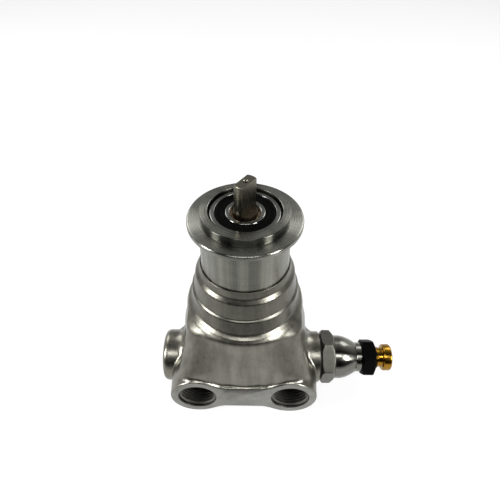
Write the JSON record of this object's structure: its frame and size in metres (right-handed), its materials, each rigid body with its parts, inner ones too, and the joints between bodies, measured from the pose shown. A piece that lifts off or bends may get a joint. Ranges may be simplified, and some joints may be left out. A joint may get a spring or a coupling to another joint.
{
  "type": "rotary vane pump",
  "caption": "Stainless rotary vane pump with a clamp flange, flatted drive shaft, threaded front ports and an adjustable relief valve on its side.",
  "frame": {"origin": "on the shaft axis, at the clamp flange's seating face for the motor", "axes": "+Z out along the shaft, -Y out of the two ports, +X along the relief valve"},
  "size_m": [0.1374, 0.0738, 0.1388],
  "materials": {
    "cast_stainless": "satin, bead blasted casting",
    "machined_stainless": "fine turned",
    "shaft_steel": "ground, slightly dull",
    "bearing_steel": "ground and polished",
    "spring_steel": "plain",
    "black_rubber": "smooth, slightly glossy",
    "dark_gasket": "dull",
    "seal_ceramic": "hard ceramic, lapped",
    "carbon": "carbon graphite, dull",
    "black_plastic": "satin",
    "brass": "bright turned"
  },
  "bodies": {
    "housing": {"pump_body": "cast_stainless", "mounting_adapter": "machined_stainless", "adapter_o_ring": "black_rubber", "bearing_outer_ring": "bearing_steel", "bearing_seal_upper": "black_rubber", "bearing_seal_lower": "black_rubber", "seal_seat": "seal_ceramic", "seal_seat_o_ring": "black_rubber", "front_bearing_plate": "carbon", "rear_bearing_plate": "carbon", "front_bush": "carbon", "rear_bush": "carbon", "cam_ring": "carbon", "locating_pin": "shaft_steel", "valve_seat": "machined_stainless", "valve_gasket": "dark_gasket", "valve_housing": "machined_stainless", "valve_spring": "spring_steel"},
    "shaft": {"drive_shaft": "shaft_steel", "bearing_inner_ring": "bearing_steel", "shaft_retaining_ring": "spring_steel", "slinger": "shaft_steel", "seal_face": "carbon", "seal_spring": "spring_steel", "seal_drive_collar": "machined_stainless", "rotor": "machined_stainless", "rotor_key": "shaft_steel"},
    "cage": {"bearing_cage": "spring_steel", "bearing_balls": "bearing_steel"},
    "poppet": {"valve_poppet": "machined_stainless"},
    "guide": {"spring_guide": "machined_stainless"},
    "screw": {"adjusting_screw": "brass", "adjusting_screw_o_ring": "black_rubber"},
    "nut": {"lock_nut": "black_plastic"},
    "vane_1": {"vane_1": "carbon"},
    "vane_2": {"vane_2": "carbon"},
    "vane_3": {"vane_3": "carbon"},
    "vane_4": {"vane_4": "carbon"},
    "vane_5": {"vane_5": "carbon"}
  },
  "joints": [
    {"name": "shaft_spin", "type": "hinge", "parent": "housing", "child": "shaft", "pos_m": [0, 0, 0], "axis": [0, 0, 1], "continuous": true},
    {"name": "cage_spin", "type": "hinge", "parent": "housing", "child": "cage", "pos_m": [0, 0, 0], "axis": [0, 0, 1], "continuous": true},
    {"name": "poppet_lift", "type": "slide", "parent": "housing", "child": "poppet", "axis": [1, 0, 0], "range_m": [0, 0.003], "stiffness_N_per_m": 6000, "springref_m": -0.006, "deforming": ["valve_spring"]},
    {"name": "guide_slide", "type": "slide", "parent": "housing", "child": "guide", "axis": [1, 0, 0], "range_m": [-0.00368, 0.00267], "deforming": ["valve_spring"]},
    {"name": "screw_turn", "type": "hinge", "parent": "guide", "child": "screw", "pos_m": [0.07, -0.01175, -0.1008], "axis": [1, 0, 0], "range_deg": [-990, 720]},
    {"name": "lock_nut_turn", "type": "hinge", "parent": "housing", "child": "nut", "pos_m": [0.075, -0.01175, -0.1008], "axis": [1, 0, 0], "range_deg": [0, 720]},
    {"name": "vane_1_slide", "type": "slide", "parent": "shaft", "child": "vane_1", "axis": [-0.5736, -0.8192, 0], "range_m": [-0.00075, 0]},
    {"name": "vane_2_slide", "type": "slide", "parent": "shaft", "child": "vane_2", "axis": [0.6018, -0.7986, 0], "range_m": [-0.00075, 0]},
    {"name": "vane_3_slide", "type": "slide", "parent": "shaft", "child": "vane_3", "axis": [0.9455, 0.3256, 0], "range_m": [-0.00075, 0]},
    {"name": "vane_4_slide", "type": "slide", "parent": "shaft", "child": "vane_4", "axis": [-0.0175, 0.9998, 0], "range_m": [-0.00075, 0]},
    {"name": "vane_5_slide", "type": "slide", "parent": "shaft", "child": "vane_5", "axis": [-0.9563, 0.2924, 0], "range_m": [-0.00075, 0]}
  ],
  "couplings": [
    {"joint": "cage_spin", "follows": "shaft_spin", "ratio": 0.38096},
    {"joint": "screw_turn", "follows": "guide_slide", "rad_per_m": 4699.5}
  ]
}
